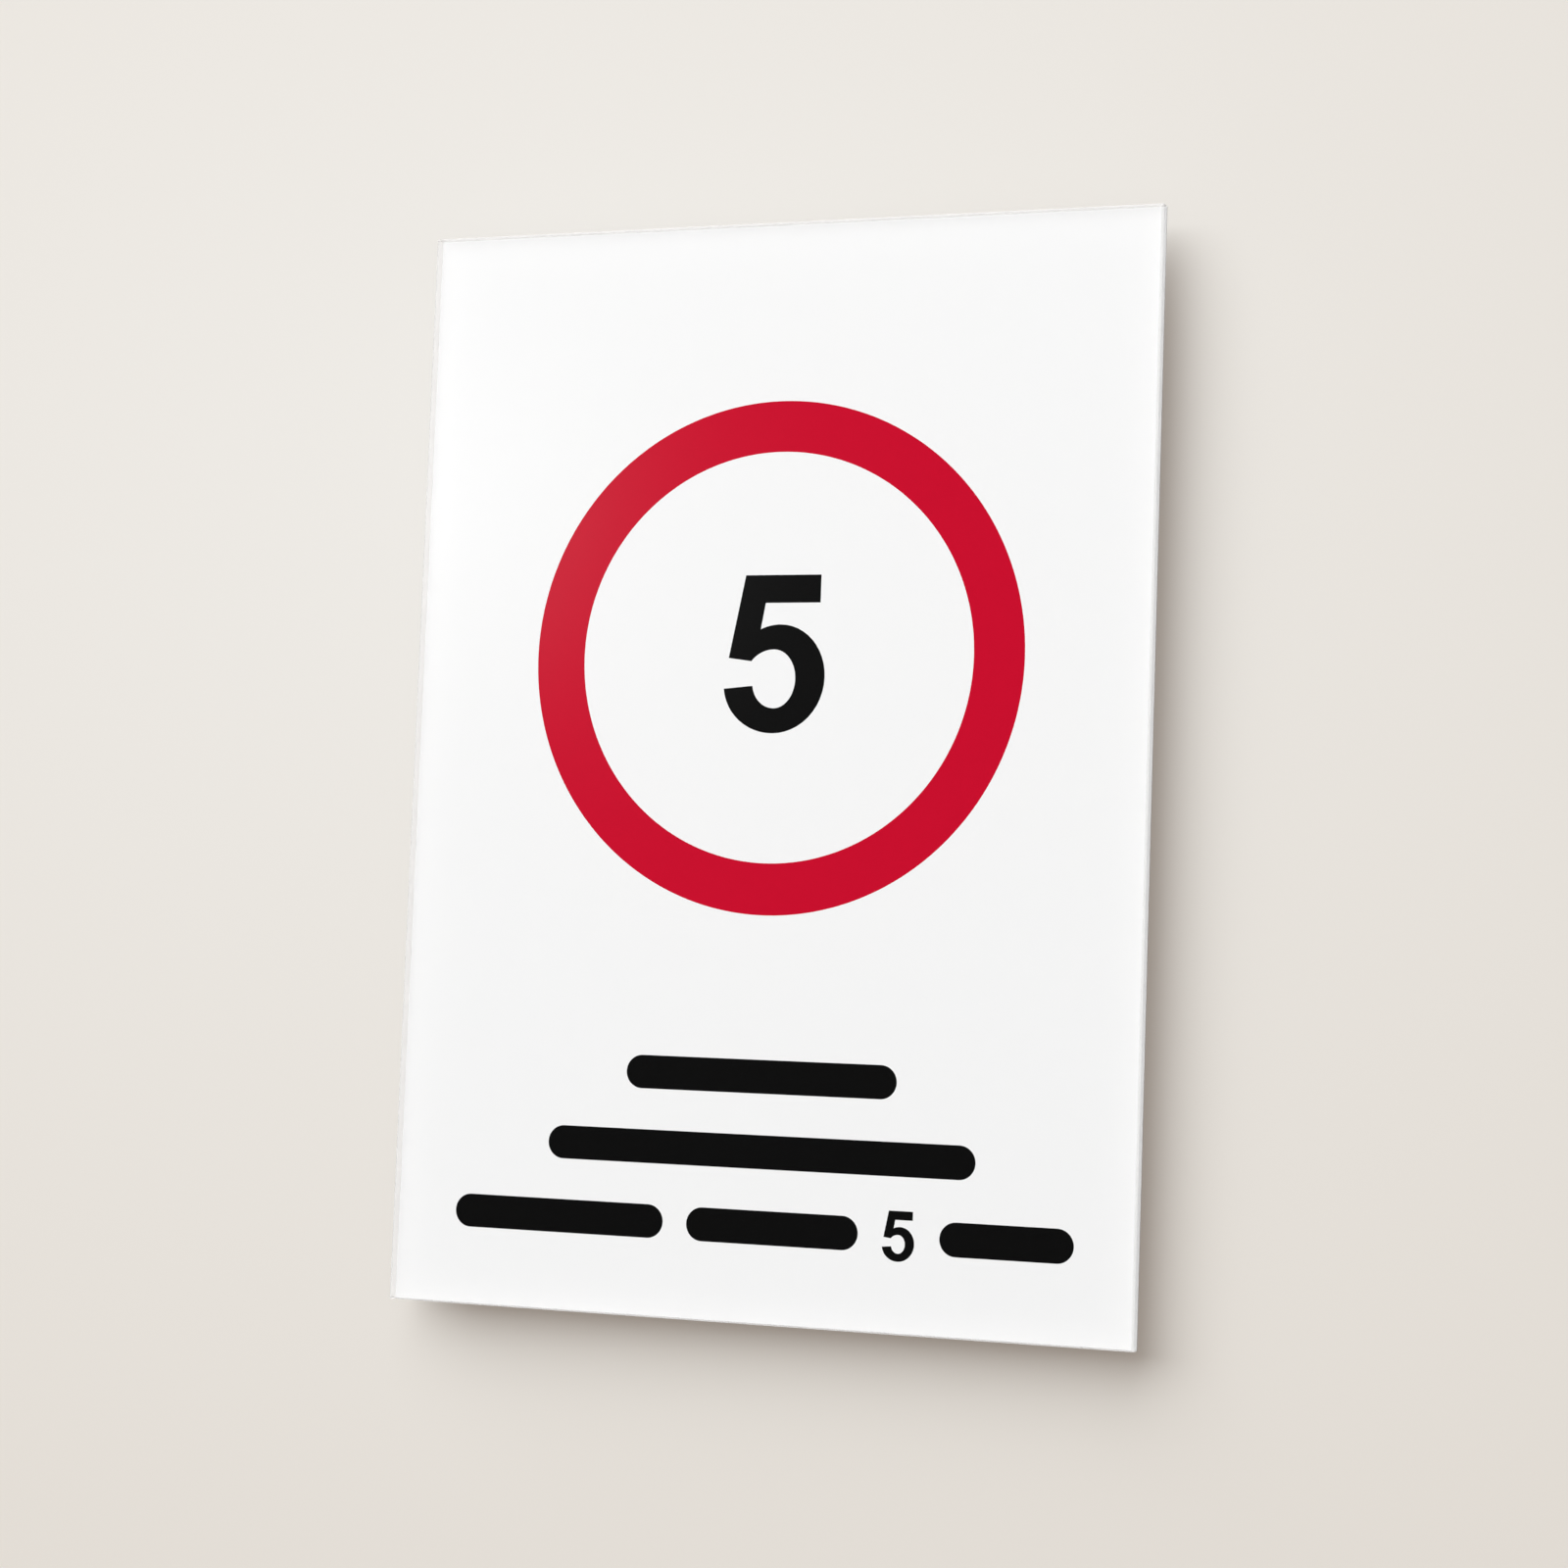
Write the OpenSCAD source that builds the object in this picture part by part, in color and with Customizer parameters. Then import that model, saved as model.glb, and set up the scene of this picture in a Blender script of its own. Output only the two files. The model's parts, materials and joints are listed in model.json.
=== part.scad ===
// Upright wall sign: a clear sheet with its print on the back, seen through the front.
// X runs to the right as the sign is read, the back faces +Y, and Z is up.
// The origin is the centre of the back face, where the sign meets the wall.

/* [Sheet] */
// Width of the clear sheet
sheet_w = 210; // [190:1:420]
// Height of the clear sheet
sheet_h = 297; // [265:1:594]
// Thickness of the clear sheet
sheet_t = 4; // [3:0.5:10]
// Width of the arris taken off the front edges
arris = 0.5; // [0.2:0.1:1.5]

/* [Print layers] */
// Thickness of the coloured layer, which lies against the sheet
colour_t = 0.1; // [0.05:0.01:0.2]
// Thickness of the white layer behind the coloured one
white_t = 0.2; // [0.1:0.05:0.5]

/* [Ring] */
// Outer diameter of the red ring
ring_d = 140; // [110:1:170]
// Width of the red band
ring_band = 14; // [6:0.5:20]
// Distance from the top edge down to the ring's centre
ring_drop = 118.7; // [90:0.1:120]

/* [Number] */
// Height of the number in the ring
number_h = 43.1; // [20:0.1:70]
// How far the number's middle lies above the ring's centre
number_lift = 0.7; // [-5:0.1:5]

/* [Word bars] */
// Height of the bars, one for each word
bar_h = 9; // [4:0.1:15]
// Height of the small number in the lowest line
small_number_h = 13.2; // [6:0.1:15]
// Distance from one line's middle to the next
line_pitch = 20; // [16:0.1:21]
// Distance from the bottom edge up to the lowest line's middle
line_rise = 25.2; // [15:0.1:30]
// Length of the bar in the top line
top_word = 77; // [40:0.5:160]
// Length of the bar in the middle line
middle_word = 121.5; // [40:0.5:160]
// Length of the first bar in the lowest line
first_word = 61.4; // [30:0.1:70]
// Length of the second bar in the lowest line
second_word = 48.6; // [30:0.1:60]
// Length of the last bar in the lowest line
last_word = 36.2; // [20:0.1:50]
// Space between two words in the lowest line
word_space = 6.8; // [4:0.1:9]

/* [Hidden] */
$fn = 96;

// Colours of the sheet and its print
clear = [0.86, 0.90, 0.90, 0.35];
white = [0.97, 0.97, 0.96];
red = [0.78, 0.06, 0.18];
black = [0.07, 0.07, 0.07];

// Depths of the layers, from the wall to the front
print_t = colour_t + white_t;
sheet_back = -print_t;
sheet_front = sheet_back - sheet_t;
overrun = 1;

// Heights on the face, from its centre
ring_z = sheet_h / 2 - ring_drop;
function line_z(line) = -sheet_h / 2 + line_rise + line * line_pitch;

// The number 5 is drawn about its own middle, and scaled from this drawing to each height
arc_steps = 12;
function arc(centre, radii, from, to) = [
    for (i = [0:arc_steps])
        let (a = from + (to - from) * i / arc_steps)
            [centre[0] + radii[0] * cos(a), centre[1] + radii[1] * sin(a)]
];
five_outline = concat(
    // Flag, clockwise from its top left corner to the inside of the stem
    [[-9.2, 21.55], [12.5, 21.55], [12.5, 13.95], [-3.2, 13.95]],
    // Outside of the bowl, from the stem round to the tail
    arc([1.3, -6.25], [13.7, 14.3], 114.6, 90),
    arc([1.3, -6.25], [13.1, 14.3], 90, 0),
    arc([-0.2, -6.25], [14.6, 15.3], 0, -90),
    arc([-0.2, -8.05], [14.4, 13.5], -90, -174),
    // Inside of the bowl, from the tail back to the stem
    arc([0, -7.75], [6.3, 7], -172.6, -90),
    arc([0, -6.75], [6, 8], -90, 0),
    arc([-0.3, -6.75], [6.3, 8], 0, 90),
    arc([-0.3, -6.25], [7.9, 7.5], 90, 145),
    // Foot of the stem
    [[-13.4, -1.05]]
);
function spread(points, axis) =
    let (places = [for (p = points) p[axis]])
        max(places) - min(places);
five_drawn_w = spread(five_outline, 0);
five_drawn_h = spread(five_outline, 1);

// The lowest line holds two bars, the small number and a last bar, centred on the sheet
small_number_w = five_drawn_w * small_number_h / five_drawn_h;
lowest = [first_word, second_word, small_number_w, last_word];
function total(lengths, count) = count == 0 ? 0 : lengths[count - 1] + total(lengths, count - 1);
lowest_w = total(lowest, len(lowest)) + (len(lowest) - 1) * word_space;
function word_x(i) = -lowest_w / 2 + total(lowest, i) + i * word_space + lowest[i] / 2;

// Each bar's middle, across and up, and its length
bars = [
    [0, line_z(2), top_word],
    [0, line_z(1), middle_word],
    [word_x(0), line_z(0), first_word],
    [word_x(1), line_z(0), second_word],
    [word_x(3), line_z(0), last_word]
];

// Stands a drawing of the face upright, with its back at y and its thickness to the front
module upright(y, thickness) {
    translate([0, y, 0])
        rotate([90, 0, 0])
            linear_extrude(height = thickness)
                children();
}

// Section across the sheet, with an arris on both front corners
module sheet_section(width) {
    polygon([
        [-width / 2, sheet_back],
        [-width / 2, sheet_front + arris],
        [-width / 2 + arris, sheet_front],
        [width / 2 - arris, sheet_front],
        [width / 2, sheet_front + arris],
        [width / 2, sheet_back]
    ]);
}

module ring_shape() {
    translate([0, ring_z])
        difference() {
            circle(d = ring_d);
            circle(d = ring_d - 2 * ring_band);
        }
}

module five_shape(height) {
    scale(height / five_drawn_h)
        polygon(five_outline);
}

module numeral_shape() {
    translate([0, ring_z + number_lift])
        five_shape(number_h);
}

module small_numeral_shape() {
    translate([word_x(2), line_z(0)])
        five_shape(small_number_h);
}

// A bar with fully rounded ends
module bar_shape(bar) {
    translate([bar[0], bar[1]]) {
        square([bar[2] - bar_h, bar_h], center = true);
        for (side = [-1, 1])
            translate([side * (bar[2] - bar_h) / 2, 0])
                circle(d = bar_h);
    }
}

module clear_sheet() {
    color(clear)
        intersection() {
            linear_extrude(height = sheet_h + 2 * overrun, center = true)
                sheet_section(sheet_w);
            rotate([0, 90, 0])
                linear_extrude(height = sheet_w + 2 * overrun, center = true)
                    sheet_section(sheet_h);
        }
}

// The white layer fills round the coloured shapes and covers them from behind
module white_backing() {
    color(white)
        difference() {
            upright(0, print_t)
                square([sheet_w, sheet_h], center = true);
            upright(-white_t, colour_t + overrun) {
                ring_shape();
                numeral_shape();
                small_numeral_shape();
                for (bar = bars)
                    bar_shape(bar);
            }
        }
}

module red_ring() {
    color(red)
        upright(-white_t, colour_t)
            ring_shape();
}

module numeral() {
    color(black)
        upright(-white_t, colour_t)
            numeral_shape();
}

module small_numeral() {
    color(black)
        upright(-white_t, colour_t)
            small_numeral_shape();
}

module word_bar(i) {
    color(black)
        upright(-white_t, colour_t)
            bar_shape(bars[i]);
}

clear_sheet();
white_backing();
red_ring();
numeral();
small_numeral();
for (i = [0:len(bars) - 1])
    word_bar(i);
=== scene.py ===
"""Dresses an upright wall sign, a clear sheet with its print on the back, before a pale wall."""

import json
from math import radians

import bmesh
import bpy
from bpy.props import FloatProperty, FloatVectorProperty, IntProperty, PointerProperty
from mathutils import Color, Matrix, Vector

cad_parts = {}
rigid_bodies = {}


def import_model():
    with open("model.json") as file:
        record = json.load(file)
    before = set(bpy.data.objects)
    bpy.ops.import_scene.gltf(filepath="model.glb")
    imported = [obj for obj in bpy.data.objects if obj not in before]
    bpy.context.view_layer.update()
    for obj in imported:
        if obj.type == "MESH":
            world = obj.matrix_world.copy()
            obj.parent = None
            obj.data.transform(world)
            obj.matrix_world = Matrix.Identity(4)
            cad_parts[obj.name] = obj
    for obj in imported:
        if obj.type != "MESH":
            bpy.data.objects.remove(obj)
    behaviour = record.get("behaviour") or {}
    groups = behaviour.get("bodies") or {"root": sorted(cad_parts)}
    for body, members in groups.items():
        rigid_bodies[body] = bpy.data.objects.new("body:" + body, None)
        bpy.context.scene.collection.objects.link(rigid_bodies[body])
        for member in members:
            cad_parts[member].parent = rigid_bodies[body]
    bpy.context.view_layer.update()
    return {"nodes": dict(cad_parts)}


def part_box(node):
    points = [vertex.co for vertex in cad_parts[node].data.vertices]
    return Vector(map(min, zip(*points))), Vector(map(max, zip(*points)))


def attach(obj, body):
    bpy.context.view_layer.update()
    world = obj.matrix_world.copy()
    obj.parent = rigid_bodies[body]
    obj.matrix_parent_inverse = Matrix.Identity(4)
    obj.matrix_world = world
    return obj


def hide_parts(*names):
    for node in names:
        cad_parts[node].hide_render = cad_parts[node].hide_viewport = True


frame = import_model()

bl_info = {
    "name": "Wall Sign",
    "version": (1, 0, 0),
    "blender": (4, 5, 0),
    "location": "View3D > Sidebar > Wall Sign",
    "description": "Makes the sheet, print and finishes of an upright wall sign, and its wall and lamps",
    "category": "Object",
}

BODY = "root"
BARS = sorted(name for name in frame["nodes"] if name.startswith("word_bar_"))
BAR_PIECES = [f"bar_{number}" for number in range(1, len(BARS) + 1)]
NUMBERS = ("numeral", "small_numeral")
MM = 0.001
# Points closer than this are one point
WELD = 0.002 * MM
# A Mix node's factor, two colours and result, which share their names with other sockets of it
MIX_FACTOR, MIX_FIRST, MIX_SECOND, MIX_COLOUR = 0, 6, 7, 2

# Patches to the metre of each kind of unevenness
INK_COATS = 90
INK_SPECKLE = 2600
FACE_SWELL = 14
FACE_RUBS = 45
EDGE_HAZE = 60
SAW_LINES = 2200
# Saw lines run across the sheet's thickness, so they change slowly that way
SAW_STRETCH = (1, 0.04, 1)
# Height of each kind of relief
SPECKLE_DEPTH = 0.004 * MM
SWELL_DEPTH = 0.02 * MM
SAW_DEPTH = 0.004 * MM
# Share of an ink's unevenness that is speckle, and how far the saw lines change an edge's frost
SPECKLE_SHARE = 0.4
SAW_CHANGE = 0.03
# Lowest and highest roughness
INK_ROUGHNESS = (0.4, 0.55)
SAW_ROUGHNESS = (0.35, 0.45)
# How far the rubs change the face's roughness either way
RUB_CHANGE = 0.02
WHITE = (1.0, 1.0, 1.0, 1.0)
THIN_FROST = (0.95, 0.935, 0.92, 1.0)
THICK_FROST = (0.98, 0.965, 0.95, 1.0)

# Sides of the square wall and floor, and the distance from the sign's back to the card
WALL_SIDE = 6.0
FLOOR_SIDE = 3.0
CARD_GAP = 1 * MM
# The floor is nearer to the lamps than the wall, so its paint is darker
FLOOR_SHARE = 0.75
# How far each direction counts in the wall's painted pool of light, which is wider than it is high
PAINTED_LIGHT_SHAPE = (0.75, 0, 1)
# Red, green and blue of the wall's painted glow, the light that shadows on the wall keep
PAINTED_GLOW_TINT = (1.06, 0.9, 0.8)
BLACK = (0.0, 0.0, 0.0, 1.0)
ROOM_TINT = (1.0, 0.99, 0.97, 1.0)
# Width of the camera's sensor, in millimetres
SENSOR = 36


def screen(red, green, blue):
    """A colour as a screen shows it, in steps of 255, as the linear numbers that nodes take."""
    shown = Color((red / 255, green / 255, blue / 255))
    return (*shown.from_srgb_to_scene_linear(), 1.0)


def size(node):
    """Lowest corner, highest corner and middle of a CAD node."""
    low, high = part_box(node)
    return low, high, (low + high) / 2


class Field:
    """One output of a node. Arithmetic on fields adds Math nodes."""

    def __init__(self, graph, socket):
        self.graph = graph
        self.socket = socket

    def also(self, output):
        """Another output of the same node."""
        return Field(self.graph, self.socket.node.outputs[output])

    def maths(self, operation, first, second):
        return self.graph.add("ShaderNodeMath", {"operation": operation}, {0: first, 1: second})

    def __add__(self, other):
        return self.maths("ADD", self, other)

    def __sub__(self, other):
        return self.maths("SUBTRACT", self, other)

    def __rsub__(self, other):
        return self.maths("SUBTRACT", other, self)

    def __mul__(self, other):
        return self.maths("MULTIPLY", self, other)

    def __rmul__(self, other):
        return self.maths("MULTIPLY", other, self)

    def __truediv__(self, other):
        return self.maths("DIVIDE", self, other)

    def __lt__(self, other):
        return self.maths("LESS_THAN", self, other)


class Graph:
    """A node tree that is filled by one call for each node."""

    def __init__(self, tree):
        self.tree = tree

    def feed(self, socket, value):
        """Sets a socket to a value, or links one field or a list of fields to it."""
        if isinstance(value, list):
            for field in value:
                self.tree.links.new(field.socket, socket)
        elif isinstance(value, Field):
            self.tree.links.new(value.socket, socket)
        else:
            socket.default_value = value

    def add(self, kind, settings=None, inputs=None, output=0):
        """Adds a node, makes its settings, fills its sockets and gives one of its outputs."""
        node = self.tree.nodes.new(kind)
        for name, value in (settings or {}).items():
            setattr(node, name, value)
        for name, value in (inputs or {}).items():
            self.feed(node.inputs[name], value)
        if node.outputs:
            return Field(self, node.outputs[output])
        return None

    def place(self):
        """Where a point of the piece lies, in metres."""
        return self.add("ShaderNodeTexCoord", output="Object")

    def noise(self, where, scale, detail=2.0, roughness=0.5):
        """Cloudy noise from 0 to 1, with scale patches to the metre."""
        inputs = {"Vector": where, "Scale": scale, "Detail": detail, "Roughness": roughness}
        return self.add("ShaderNodeTexNoise", inputs=inputs)

    def between(self, amount, low, high):
        """A number that runs from low to high as amount runs from 0 to 1."""
        return amount * (high - low) + low

    def multiplied(self, first, second):
        """A place or a colour times another, each part by itself."""
        return self.add("ShaderNodeVectorMath", {"operation": "MULTIPLY"}, {0: first, 1: second})

    def blend(self, amount, first, second):
        """A colour between two colours."""
        inputs = {MIX_FACTOR: amount, MIX_FIRST: first, MIX_SECOND: second}
        return self.add("ShaderNodeMix", {"data_type": "RGBA"}, inputs, output=MIX_COLOUR)

    def relief(self, height, depth):
        """A normal that makes height look depth metres deep."""
        return self.add("ShaderNodeBump", inputs={"Height": height, "Distance": depth})

    def mix(self, amount, first, second):
        """One shader laid over another."""
        return self.add("ShaderNodeMixShader", inputs={0: amount, 1: first, 2: second})

    def surface(self, shader):
        self.add("ShaderNodeOutputMaterial", inputs={"Surface": shader})


def new_material(name):
    """An empty material and the graph of its nodes."""
    material = bpy.data.materials.new(name)
    material.use_nodes = True
    material.node_tree.nodes.clear()
    return material, Graph(material.node_tree)


def dimmed(colour, share):
    """The same colour at a share of its brightness."""
    return (colour[0] * share, colour[1] * share, colour[2] * share, 1.0)


def ink_material(name, colour, mottle, gloss):
    """Printed ink: slightly uneven coats, with fine speckle and the faint relief of its dots."""
    material, graph = new_material(name)
    place = graph.place()
    coats = graph.noise(place, INK_COATS, detail=4.0, roughness=0.6)
    speckle = graph.noise(place, INK_SPECKLE)
    uneven = coats * (1 - SPECKLE_SHARE) + speckle * SPECKLE_SHARE
    inputs = {
        "Base Color": graph.blend(uneven, dimmed(colour, 1 - mottle), dimmed(colour, 1 + mottle)),
        "Roughness": graph.between(speckle, *INK_ROUGHNESS),
        "Specular IOR Level": gloss,
        "Normal": graph.relief(speckle, SPECKLE_DEPTH),
    }
    graph.surface(graph.add("ShaderNodeBsdfPrincipled", inputs=inputs))
    return material


def acrylic_material(settings):
    """Clear cast acrylic: a soft gloss on its front, with the slight swell of a cast face.

    Its back is bonded to the print, so it has no gloss."""
    material, graph = new_material("clear_acrylic_face")
    place = graph.place()
    swell = graph.noise(place, FACE_SWELL, detail=1.0)
    rubs = graph.noise(place, FACE_RUBS, detail=4.0, roughness=0.6)
    roughness = settings.face_roughness
    outside = 1 - graph.add("ShaderNodeNewGeometry", output="Backfacing")
    normal = graph.add("ShaderNodeTexCoord", output="Normal")
    front = graph.add("ShaderNodeSeparateXYZ", inputs={"Vector": normal}, output="Y") < 0
    mirror = graph.add("ShaderNodeFresnel", inputs={"IOR": settings.refraction})
    gloss_inputs = {
        "Base Color": WHITE,
        "Metallic": 1.0,
        "Roughness": graph.between(rubs, roughness - RUB_CHANGE, roughness + RUB_CHANGE),
        "Normal": graph.relief(swell, SWELL_DEPTH),
    }
    gloss = graph.add("ShaderNodeBsdfPrincipled", inputs=gloss_inputs)
    clear = graph.add("ShaderNodeBsdfTransparent")
    graph.surface(graph.mix(mirror * outside * front, clear, gloss))
    return material


def edge_material(settings):
    """Sawn acrylic edge: a thin frost from outside, and a mirror of the print from inside."""
    material, graph = new_material("clear_acrylic_edge")
    place = graph.place()
    lines = graph.noise(graph.multiplied(place, SAW_STRETCH), SAW_LINES, detail=3.0, roughness=0.6)
    haze = graph.noise(place, EDGE_HAZE, detail=3.0)
    inside = graph.add("ShaderNodeNewGeometry", output="Backfacing")
    seen = 1 - graph.add("ShaderNodeLightPath", output="Is Shadow Ray")
    frost_inputs = {
        "Base Color": graph.blend(haze, THIN_FROST, THICK_FROST),
        "Metallic": inside,
        "Roughness": graph.between(lines, *SAW_ROUGHNESS),
        "Normal": graph.relief(lines, SAW_DEPTH),
    }
    frost = graph.add("ShaderNodeBsdfPrincipled", inputs=frost_inputs)
    clear = graph.add("ShaderNodeBsdfTransparent")
    share = graph.between(inside, settings.edge_haze, settings.edge_mirror)
    uneven = share + graph.between(lines, -SAW_CHANGE / 2, SAW_CHANGE / 2)
    body = graph.mix(uneven * seen, clear, frost)
    gloss_inputs = {"Base Color": WHITE, "Metallic": 1.0, "Roughness": settings.face_roughness}
    gloss = graph.add("ShaderNodeBsdfPrincipled", inputs=gloss_inputs)
    mirror = graph.add("ShaderNodeFresnel", inputs={"IOR": settings.refraction})
    graph.surface(graph.mix(mirror * (1 - inside) * seen * settings.edge_gloss, body, gloss))
    return material


class Shape:
    """A Geometry Nodes tree with named inputs, and the plain mesh that it makes."""

    def __init__(self, name):
        self.tree = bpy.data.node_groups.new(name, "GeometryNodeTree")
        self.graph = Graph(self.tree)
        self.tree.interface.new_socket("Geometry", in_out="OUTPUT", socket_type="NodeSocketGeometry")
        self.start = self.tree.nodes.new("NodeGroupInput")

    def size(self, name):
        """Adds a named length and gives its field."""
        socket = self.tree.interface.new_socket(name, in_out="INPUT", socket_type="NodeSocketFloat")
        socket.subtype = "DISTANCE"
        return Field(self.graph, self.start.outputs[name])

    def count(self, name):
        """Adds a named whole number and gives its field."""
        self.tree.interface.new_socket(name, in_out="INPUT", socket_type="NodeSocketInt")
        return Field(self.graph, self.start.outputs[name])

    def rectangle(self, width, height):
        """The outline of a flat rectangle about the origin."""
        inputs = {"Width": width, "Height": height}
        return self.graph.add("GeometryNodeCurvePrimitiveQuadrilateral", inputs=inputs)

    def upright(self, flat):
        """Stands a flat drawing up, so that its top faces the front."""
        return self.graph.add(
            "GeometryNodeTransform",
            inputs={"Geometry": flat, "Rotation": (radians(90), 0, 0)},
        )

    def raised(self, outline, thickness):
        """The two parts of a solid on a flat outline: its top and walls, and its back, which is at zero."""
        flat = self.graph.add("GeometryNodeFillCurve", {"mode": "NGONS"}, {"Curve": outline})
        top = self.graph.add(
            "GeometryNodeExtrudeMesh",
            {"mode": "FACES"},
            {"Mesh": flat, "Offset Scale": thickness, "Individual": False},
        )
        back = self.graph.add("GeometryNodeFlipFaces", inputs={"Mesh": flat})
        return top, back

    def welded(self, parts):
        """Joins parts and makes one point of those that lie together."""
        joined = self.graph.add("GeometryNodeJoinGeometry", inputs={"Geometry": parts})
        return self.graph.add("GeometryNodeMergeByDistance", inputs={"Geometry": joined, "Distance": WELD})

    def finish(self, solid, material, selection=None, other=None):
        """Ends the tree with real geometry and its material, and a second one on a selection."""
        real = self.graph.add("GeometryNodeRealizeInstances", inputs={"Geometry": solid})
        dressed = self.graph.add("GeometryNodeSetMaterial", inputs={"Geometry": real, "Material": material})
        if other:
            inputs = {"Geometry": dressed, "Selection": selection, "Material": other}
            dressed = self.graph.add("GeometryNodeSetMaterial", inputs=inputs)
        end = self.tree.nodes.new("NodeGroupOutput")
        self.tree.links.new(dressed.socket, end.inputs["Geometry"])

    def make(self, name, values, place):
        """Makes one piece from the tree, with its place in its mesh."""
        holder = bpy.data.objects.new(name, bpy.data.meshes.new(name))
        bpy.context.scene.collection.objects.link(holder)
        modifier = holder.modifiers.new("Shape", "NODES")
        modifier.node_group = self.tree
        for socket in self.tree.interface.items_tree:
            if socket.in_out == "INPUT":
                modifier[socket.identifier] = values[socket.name]
        return settled(holder, place)


def settled(holder, place=(0, 0, 0)):
    """Turns what an object's modifiers make into its plain mesh, moved to its place."""
    graph = bpy.context.evaluated_depsgraph_get()
    mesh = bpy.data.meshes.new_from_object(holder.evaluated_get(graph))
    if not mesh.polygons:
        raise RuntimeError(f"{holder.name} came out empty")
    holder.modifiers.clear()
    holder.data = mesh
    mesh.name = holder.name
    # A mesh made by Geometry Nodes starts with an empty slot
    if mesh.materials[0] is None:
        mesh.materials.pop(index=0)
    mesh.shade_flat()
    mesh.transform(Matrix.Translation(place))
    return holder


def fixed(piece, node):
    """Fixes a piece to the sign, in the place of the CAD node that it stands for."""
    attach(piece, BODY)
    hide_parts(node)


class SheetSettings(bpy.types.PropertyGroup):
    """The clear sheet."""

    arris: FloatProperty(
        name="Arris", description="Width of the bevel on the front edges", default=0.5 * MM, min=0,
        unit="LENGTH"
    )
    glue: FloatProperty(
        name="Glue", description="Thickness of the clear glue under the sheet", default=0.04 * MM, min=0,
        unit="LENGTH"
    )
    refraction: FloatProperty(
        name="Refraction", description="Index of refraction of the acrylic", default=1.49, min=1, max=2
    )
    face_roughness: FloatProperty(
        name="Face roughness", description="How soft the gloss of the face is", default=0.2, min=0.03,
        max=0.9, subtype="FACTOR"
    )
    edge_haze: FloatProperty(
        name="Edge haze", description="Share of the light that the edges throw back outside", default=0.25,
        min=0.1, max=0.9, subtype="FACTOR"
    )
    edge_gloss: FloatProperty(
        name="Edge gloss", description="Share of a polished face's gloss that the sawn edges keep",
        default=0.5, min=0, max=1, subtype="FACTOR"
    )
    edge_mirror: FloatProperty(
        name="Edge mirror", description="Share of the light that the edges throw back inside the sheet",
        default=0.9, min=0.1, max=0.95, subtype="FACTOR"
    )


class PrintSettings(bpy.types.PropertyGroup):
    """The print on the back of the sheet."""

    white: FloatVectorProperty(
        name="White", description="Colour of the white film", default=screen(247, 247, 247), size=4,
        subtype="COLOR", min=0, max=1
    )
    red: FloatVectorProperty(
        name="Red", description="Colour of the ring", default=screen(199, 12, 44), size=4, subtype="COLOR",
        min=0, max=1
    )
    black: FloatVectorProperty(
        name="Black", description="Colour of the numbers and bars", default=screen(13, 13, 13), size=4,
        subtype="COLOR", min=0, max=1
    )
    ring_steps: IntProperty(
        name="Ring steps", description="Straight steps round the ring", default=360, min=24, max=1440
    )
    end_steps: IntProperty(
        name="End steps", description="Straight steps round each corner of a bar", default=16, min=4,
        max=64
    )


class StageSettings(bpy.types.PropertyGroup):
    """The wall, the floor and the camera."""

    wall_gap: FloatProperty(
        name="Wall gap", description="Distance from the sign's back to the wall", default=13 * MM, min=0,
        unit="LENGTH"
    )
    floor_drop: FloatProperty(
        name="Floor drop", description="Distance from the sign's middle down to the floor", default=0.6,
        min=0.2, unit="LENGTH"
    )
    # Painted light: the wall is painted brightest round one spot, as a lamp's pool of light, and fades to
    # the far colour
    wall_in_painted_light: FloatVectorProperty(
        name="Near wall", description="Colour of the wall at its brightest spot",
        default=screen(232, 235, 234), size=4, subtype="COLOR", min=0, max=1
    )
    far_wall: FloatVectorProperty(
        name="Far wall", description="Colour of the wall away from that spot",
        default=screen(221, 220, 215), size=4, subtype="COLOR", min=0, max=1
    )
    painted_light_middle: FloatVectorProperty(
        name="Bright spot", description="Middle of the wall's brightest spot", default=(-0.07, 0, 0.09),
        subtype="TRANSLATION", unit="LENGTH"
    )
    painted_light_reach: FloatProperty(
        name="Spot reach", description="Distance over which the spot fades", default=0.43, min=0.01,
        unit="LENGTH"
    )
    # Painted glow: this share of the wall's brightness is emitted by the paint itself, so no shadow dims it
    painted_wall_glow: FloatProperty(
        name="Wall glow", description="Share of the wall's brightness that no shadow dims", default=0.36,
        min=0, max=1, subtype="FACTOR"
    )
    lens: FloatProperty(
        name="Lens", description="Focal length of the camera, in millimetres", default=74.64, min=10
    )
    rise: FloatProperty(
        name="Rise", description="Upward shift of the picture, as a share of its width", default=-0.0375,
        min=-0.1, max=0.1
    )
    eye: FloatVectorProperty(
        name="Eye", description="Place of the camera", default=(0.3011, -0.8215, -0.0624),
        subtype="TRANSLATION", unit="LENGTH"
    )
    aim: FloatVectorProperty(
        name="Aim", description="Point that the camera looks at", default=(0.004, -0.0023, 0.011),
        subtype="TRANSLATION", unit="LENGTH"
    )
    roll: FloatProperty(
        name="Roll", description="Turn of the camera about its line of sight", default=radians(2.07),
        unit="ROTATION"
    )


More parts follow.
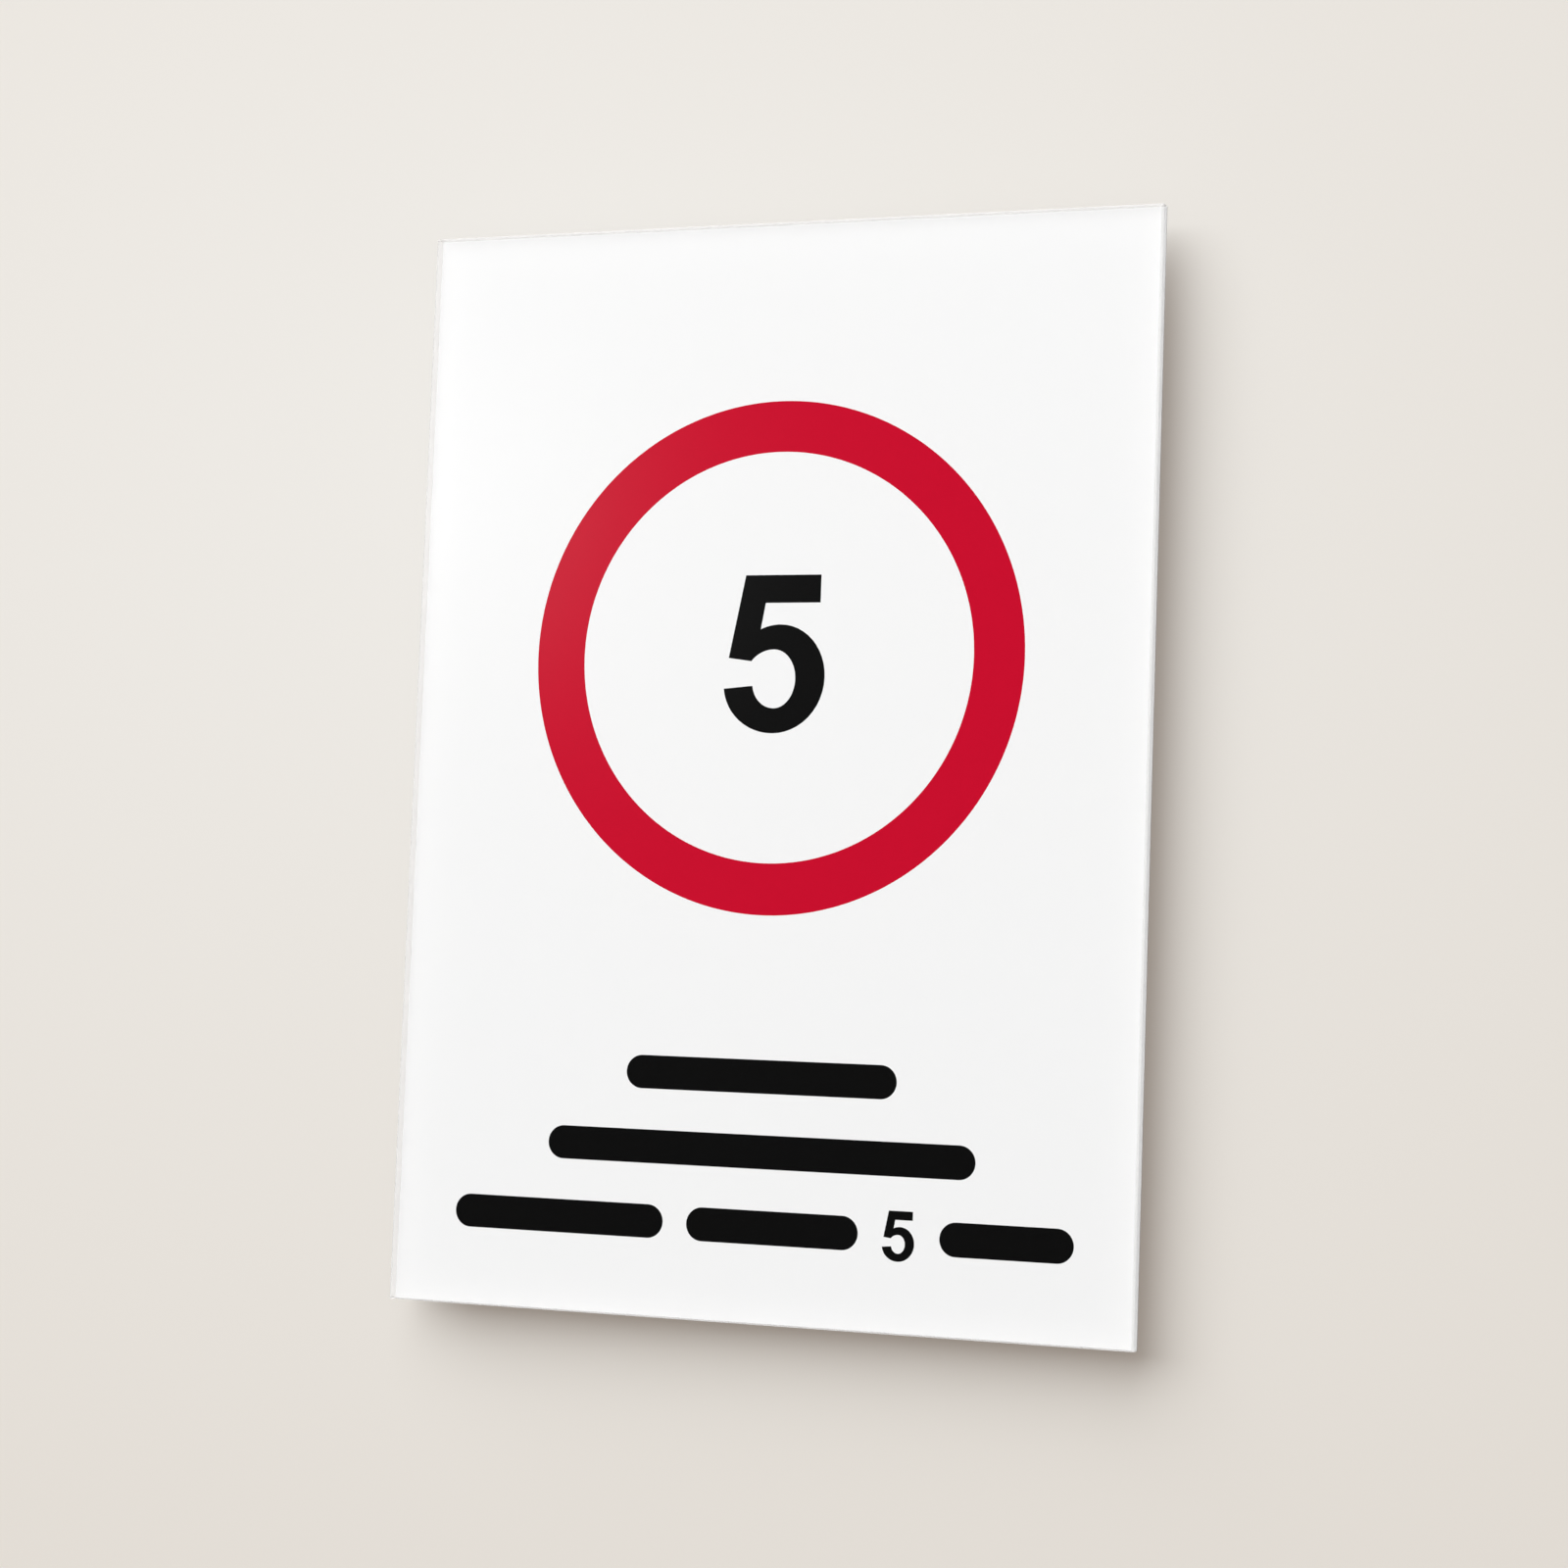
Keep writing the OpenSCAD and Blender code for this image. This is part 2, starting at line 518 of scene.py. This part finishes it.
class LightSettings(bpy.types.PropertyGroup):
    """The lamps and the light all round."""

    key_place: FloatVectorProperty(
        name="Key place", description="Place of the large soft lamp at the upper left",
        default=(-2.25, -4.85, 4.5), subtype="TRANSLATION", unit="LENGTH"
    )
    key_side: FloatProperty(
        name="Key side", description="Side of the large soft lamp", default=8.9, unit="LENGTH"
    )
    key_power: FloatProperty(
        name="Key power", description="Power of the large soft lamp", default=1010, min=0, unit="POWER"
    )
    sheen_place: FloatVectorProperty(
        name="Sheen place", description="Place of the lamp that shows in gloss alone",
        default=(-1.4, -2.6, 0.52), subtype="TRANSLATION", unit="LENGTH"
    )
    sheen_side: FloatProperty(
        name="Sheen side", description="Side of the lamp that shows in gloss alone", default=0.3,
        unit="LENGTH"
    )
    sheen_power: FloatProperty(
        name="Sheen power", description="Power of the lamp that shows in gloss alone", default=0.75, min=0,
        unit="POWER"
    )
    back_place: FloatVectorProperty(
        name="Back place", description="Place of the lamp behind the wall", default=(-0.5, 1.9, 1.6),
        subtype="TRANSLATION", unit="LENGTH"
    )
    back_side: FloatProperty(
        name="Back side", description="Side of the lamp behind the wall", default=2.0, unit="LENGTH"
    )
    back_power: FloatProperty(
        name="Back power", description="Power of the lamp behind the wall", default=70, min=0, unit="POWER"
    )
    fill: FloatProperty(
        name="Fill", description="Strength of the light from all round", default=0.1, min=0
    )
    gloss_fill: FloatProperty(
        name="Gloss fill", description="Strength of the room as gloss shows it", default=0.03, min=0
    )
    backdrop: FloatProperty(
        name="Backdrop", description="Strength of the room as the camera sees it", default=0.85, min=0
    )


class WALLSIGN_OT_sheet(bpy.types.Operator):
    """Make the clear sheet, with an arris round its front"""

    bl_idname = "wallsign.sheet"
    bl_label = "Clear sheet"

    def execute(self, context):
        settings = context.scene.wallsign_sheet
        low, high, middle = size("clear_sheet")
        shape = Shape("sheet_with_arris")
        width = shape.size("Width")
        height = shape.size("Height")
        thickness = shape.size("Thickness")
        arris = shape.size("Arris")
        walls, back = shape.raised(shape.rectangle(width, height), thickness - arris)
        bevel = shape.graph.add(
            "GeometryNodeExtrudeMesh",
            {"mode": "FACES"},
            {"Mesh": walls, "Selection": walls.also("Top"), "Offset Scale": arris, "Individual": False},
        )
        front = bevel
        for axis, length in (((1, 0, 0), width), ((0, 1, 0), height)):
            front = shape.graph.add(
                "GeometryNodeScaleElements",
                {"domain": "FACE", "scale_mode": "SINGLE_AXIS"},
                {
                    "Geometry": front,
                    "Selection": bevel.also("Top"),
                    "Scale": 1 - 2 * arris / length,
                    "Axis": axis,
                },
            )
        sides = walls.also("Side") + bevel.also("Side")
        solid = shape.upright(shape.welded([front, back]))
        shape.finish(solid, acrylic_material(settings), sides, edge_material(settings))
        values = {
            "Width": high.x - low.x,
            "Height": high.z - low.z,
            "Thickness": high.y - low.y - settings.glue,
            "Arris": settings.arris,
        }
        sheet = shape.make("acrylic_sheet", values, (middle.x, high.y - settings.glue, middle.z))
        fixed(sheet, "clear_sheet")
        return {"FINISHED"}


class WALLSIGN_OT_ring(bpy.types.Operator):
    """Make the red ring"""

    bl_idname = "wallsign.ring"
    bl_label = "Red ring"

    def execute(self, context):
        settings = context.scene.wallsign_print
        low, high, middle = size("red_ring")
        shape = Shape("flat_ring")
        outer = shape.size("Outer radius")
        inner = shape.size("Inner radius")
        thickness = shape.size("Thickness")
        steps = shape.count("Steps")
        rail = shape.graph.add(
            "GeometryNodeCurvePrimitiveCircle",
            inputs={"Resolution": steps, "Radius": (outer + inner) / 2},
        )
        section = shape.rectangle(outer - inner, thickness)
        band = shape.graph.add("GeometryNodeCurveToMesh", inputs={"Curve": rail, "Profile Curve": section})
        shape.finish(shape.upright(band), ink_material("red_ink", settings.red, mottle=0.03, gloss=0.0))
        values = {
            "Outer radius": (high.x - low.x) / 2,
            "Inner radius": inner_radius("red_ring", middle),
            "Thickness": high.y - low.y,
            "Steps": settings.ring_steps,
        }
        ring = shape.make("speed_ring", values, middle)
        fixed(ring, "red_ring")
        return {"FINISHED"}


def inner_radius(node, middle):
    """Radius of the hole through a flat ring that stands upright, from its middle."""
    points = [vertex.co - middle for vertex in frame["nodes"][node].data.vertices]
    return min(Vector((point.x, point.z)).length for point in points)


class WALLSIGN_OT_bars(bpy.types.Operator):
    """Make the black bars, one for each word"""

    bl_idname = "wallsign.bars"
    bl_label = "Word bars"

    def execute(self, context):
        settings = context.scene.wallsign_print
        shape = Shape("round_ended_bar")
        length = shape.size("Length")
        height = shape.size("Height")
        thickness = shape.size("Thickness")
        steps = shape.count("End steps")
        outline = shape.rectangle(length, height)
        rounded = shape.graph.add(
            "GeometryNodeFilletCurve",
            {"mode": "POLY"},
            {"Curve": outline, "Count": steps, "Radius": height / 2, "Limit Radius": True},
        )
        top, back = shape.raised(rounded, thickness)
        solid = shape.upright(shape.welded([top, back]))
        shape.finish(solid, black_material(settings))
        for piece, node in zip(BAR_PIECES, BARS):
            low, high, middle = size(node)
            values = {
                "Length": high.x - low.x,
                "Height": high.z - low.z,
                "Thickness": high.y - low.y,
                "End steps": settings.end_steps,
            }
            bar = shape.make(piece, values, (middle.x, high.y, middle.z))
            fixed(bar, node)
        return {"FINISHED"}


def black_material(settings):
    """The black ink, made once."""
    made = bpy.data.materials.get("black_ink")
    return made or ink_material("black_ink", settings.black, mottle=0.08, gloss=0.0)


class WALLSIGN_OT_numbers(bpy.types.Operator):
    """Give the numbers their black ink"""

    bl_idname = "wallsign.numbers"
    bl_label = "Numbers"

    def execute(self, context):
        for node in NUMBERS:
            for slot in frame["nodes"][node].material_slots:
                slot.material = black_material(context.scene.wallsign_print)
        return {"FINISHED"}


class WALLSIGN_OT_film(bpy.types.Operator):
    """Make the white film that fills round the coloured print and covers it from behind"""

    bl_idname = "wallsign.film"
    bl_label = "White film"

    def execute(self, context):
        settings = context.scene.wallsign_print
        low, high, middle = size("white_backing")
        shape = Shape("plain_film")
        width = shape.size("Width")
        height = shape.size("Height")
        thickness = shape.size("Thickness")
        top, back = shape.raised(shape.rectangle(width, height), thickness)
        solid = shape.upright(shape.welded([top, back]))
        shape.finish(solid, ink_material("white_film", settings.white, mottle=0.008, gloss=0.4))
        values = {"Width": high.x - low.x, "Height": high.z - low.z, "Thickness": high.y - low.y}
        film = shape.make("white_film", values, (middle.x, high.y, middle.z))
        pockets = bpy.data.collections.new("pockets")
        for name in ("speed_ring", *BAR_PIECES, *NUMBERS):
            pockets.objects.link(cutter(bpy.data.objects[name], high.y - low.y))
        cut = film.modifiers.new("Pockets", "BOOLEAN")
        cut.operand_type = "COLLECTION"
        cut.collection = pockets
        cut.solver = "EXACT"
        context.scene.collection.children.link(pockets)
        context.view_layer.update()
        settled(film)
        for copy in list(pockets.objects):
            bpy.data.objects.remove(copy)
        bpy.data.collections.remove(pockets)
        fixed(film, "white_backing")
        return {"FINISHED"}


def cutter(piece, overrun):
    """A closed copy of a flat piece, with its front drawn out, to cut its pocket with."""
    mesh = piece.data.copy()
    solid = bmesh.new()
    solid.from_mesh(mesh)
    bmesh.ops.remove_doubles(solid, verts=solid.verts, dist=WELD)
    back = max(vertex.co.y for vertex in solid.verts)
    for vertex in solid.verts:
        if vertex.co.y < back - WELD:
            vertex.co.y -= overrun
    solid.to_mesh(mesh)
    solid.free()
    mesh.materials.clear()
    return bpy.data.objects.new(f"pocket_{piece.name}", mesh)


class WALLSIGN_OT_stage(bpy.types.Operator):
    """Set up the wall, the floor, the lamps, the light all round and the camera"""

    bl_idname = "wallsign.stage"
    bl_label = "Stage"

    def execute(self, context):
        settings = context.scene.wallsign_stage
        lights = context.scene.wallsign_lights
        low, high, _ = size("white_backing")
        upright = Matrix.Rotation(radians(90), 4, "X")
        wall_paint_and_painted_light = pale_material("wall_paint_and_painted_light", settings, 1)
        floor_paint_and_painted_light = pale_material("floor_paint_and_painted_light", settings, FLOOR_SHARE)
        wall_place = (0, high.y + settings.wall_gap, 0)
        wall = plane("wall", (WALL_SIDE, WALL_SIDE), upright, wall_place, wall_paint_and_painted_light)
        floor_place = (0, 0, -settings.floor_drop)
        floor = plane("floor", (FLOOR_SIDE, FLOOR_SIDE), Matrix(), floor_place, floor_paint_and_painted_light)
        card_sides = (high.x - low.x, high.z - low.z)
        card = plane("card", card_sides, upright.inverted(), (0, high.y + CARD_GAP, 0), card_material())
        key = lamp("key", lights.key_power, lights.key_side, lights.key_place)
        key.visible_glossy = False
        sheen = lamp("sheen", lights.sheen_power, lights.sheen_side, lights.sheen_place)
        sheen.visible_diffuse = False
        lamp("back_lamp", lights.back_power, lights.back_side, lights.back_place)
        surroundings(lights)
        camera(settings)
        return {"FINISHED"}


def plane(name, sides, turn, place, material):
    """A flat rectangle of the stage, with its place in its mesh. It faces up before it is turned."""
    x, y = sides[0] / 2, sides[1] / 2
    mesh = bpy.data.meshes.new(name)
    mesh.from_pydata([(-x, -y, 0), (x, -y, 0), (x, y, 0), (-x, y, 0)], [], [(0, 1, 2, 3)])
    mesh.transform(Matrix.Translation(place) @ turn)
    mesh.materials.append(material)
    flat = bpy.data.objects.new(name, mesh)
    bpy.context.scene.collection.objects.link(flat)
    return flat


def one_sided(graph, shader, rays):
    """Shows a shader from the front alone, and to one kind of ray alone."""
    front = 1 - graph.add("ShaderNodeNewGeometry", output="Backfacing")
    shown = front * graph.add("ShaderNodeLightPath", output=rays)
    graph.surface(graph.mix(shown, graph.add("ShaderNodeBsdfTransparent"), shader))


def pale_material(name, settings, share):
    """Pale warm paint with a painted pool of light, brightest in one spot, and a painted glow. Only the
    camera sees it, so it casts no light on the sign.
    """
    material, graph = new_material(name)
    near = dimmed(settings.wall_in_painted_light, share)
    far = dimmed(settings.far_wall, share)
    spot = tuple(settings.painted_light_middle)
    across = graph.add("ShaderNodeVectorMath", {"operation": "SUBTRACT"}, {0: graph.place(), 1: spot})
    oval = graph.multiplied(across, PAINTED_LIGHT_SHAPE)
    away = graph.add("ShaderNodeVectorMath", {"operation": "LENGTH"}, {0: oval}, output="Value")
    # Painted pool of light: the paint fades from its bright colour at the spot to its far colour
    colour = graph.blend(away / settings.painted_light_reach, near, far)
    lit = graph.add("ShaderNodeBsdfDiffuse", inputs={"Color": colour})
    # Painted glow: the paint emits a warm share of its colour, which keeps its shadows from going dark
    painted_glow = graph.add("ShaderNodeEmission", inputs={"Color": graph.multiplied(colour, PAINTED_GLOW_TINT)})
    one_sided(graph, graph.mix(settings.painted_wall_glow, lit, painted_glow), "Is Camera Ray")
    return material


def card_material():
    """Black card behind the sign, which keeps the light on its back from reaching the wall."""
    material, graph = new_material("black_card")
    one_sided(graph, graph.add("ShaderNodeBsdfDiffuse", inputs={"Color": BLACK}), "Is Diffuse Ray")
    return material


def lamp(name, power, side, place):
    """A square soft lamp that looks at the sign, unseen by the camera."""
    light = bpy.data.lights.new(name, "AREA")
    light.energy = power
    light.shape = "SQUARE"
    light.size = side
    holder = bpy.data.objects.new(name, light)
    holder.location = place
    holder.rotation_euler = (-Vector(place)).to_track_quat("-Z", "Y").to_euler()
    holder.visible_camera = False
    bpy.context.scene.collection.objects.link(holder)
    return holder


def surroundings(lights):
    """A pale room, with a weak light on the sign and hardly any in its gloss."""
    world = bpy.data.worlds.new("room")
    bpy.context.scene.world = world
    world.use_nodes = True
    world.node_tree.nodes.clear()
    graph = Graph(world.node_tree)
    seen = graph.add("ShaderNodeLightPath", output="Is Camera Ray")
    glossy = seen.also("Is Glossy Ray")
    unseen = graph.between(glossy, lights.fill, lights.gloss_fill)
    strength = seen * lights.backdrop + (1 - seen) * unseen
    light = graph.add("ShaderNodeBackground", inputs={"Color": ROOM_TINT, "Strength": strength})
    graph.add("ShaderNodeOutputWorld", inputs={"Surface": light})


def camera(settings):
    """A camera a little below the middle and to the right, held slightly askew."""
    holder = bpy.data.objects.new("camera", bpy.data.cameras.new("camera"))
    bpy.context.scene.collection.objects.link(holder)
    holder.data.sensor_width = SENSOR
    holder.data.lens = settings.lens
    holder.data.shift_y = settings.rise
    eye = Vector(settings.eye)
    level = (Vector(settings.aim) - eye).to_track_quat("-Z", "Y").to_matrix().to_4x4()
    roll = Matrix.Rotation(settings.roll, 4, "Z")
    holder.matrix_world = Matrix.Translation(eye) @ level @ roll
    bpy.context.scene.camera = holder
    bpy.context.scene.view_settings.view_transform = "Standard"


class WALLSIGN_PT_panel(bpy.types.Panel):
    """The sizes, the colours and the steps that make the sign"""

    bl_idname = "WALLSIGN_PT_panel"
    bl_label = "Wall Sign"
    bl_space_type = "VIEW_3D"
    bl_region_type = "UI"
    bl_category = "Wall Sign"

    def draw(self, context):
        for name in GROUPS:
            box = self.layout.box()
            settings = getattr(context.scene, name)
            for item in settings.__annotations__:
                box.prop(settings, item)
        for operator in STEPS:
            self.layout.operator(operator.bl_idname)


GROUPS = {
    "wallsign_sheet": SheetSettings,
    "wallsign_print": PrintSettings,
    "wallsign_stage": StageSettings,
    "wallsign_lights": LightSettings,
}
STEPS = (
    WALLSIGN_OT_stage,
    WALLSIGN_OT_sheet,
    WALLSIGN_OT_ring,
    WALLSIGN_OT_bars,
    WALLSIGN_OT_numbers,
    WALLSIGN_OT_film,
)


def register():
    for kind in (*GROUPS.values(), *STEPS, WALLSIGN_PT_panel):
        bpy.utils.register_class(kind)
    for name, kind in GROUPS.items():
        setattr(bpy.types.Scene, name, PointerProperty(type=kind))


def unregister():
    for name in GROUPS:
        delattr(bpy.types.Scene, name)
    for kind in reversed((*GROUPS.values(), *STEPS, WALLSIGN_PT_panel)):
        bpy.utils.unregister_class(kind)


def main():
    register()
    bpy.ops.wallsign.stage()
    bpy.ops.wallsign.sheet()
    bpy.ops.wallsign.ring()
    bpy.ops.wallsign.bars()
    bpy.ops.wallsign.numbers()
    bpy.ops.wallsign.film()


if __name__ == "__main__":
    main()
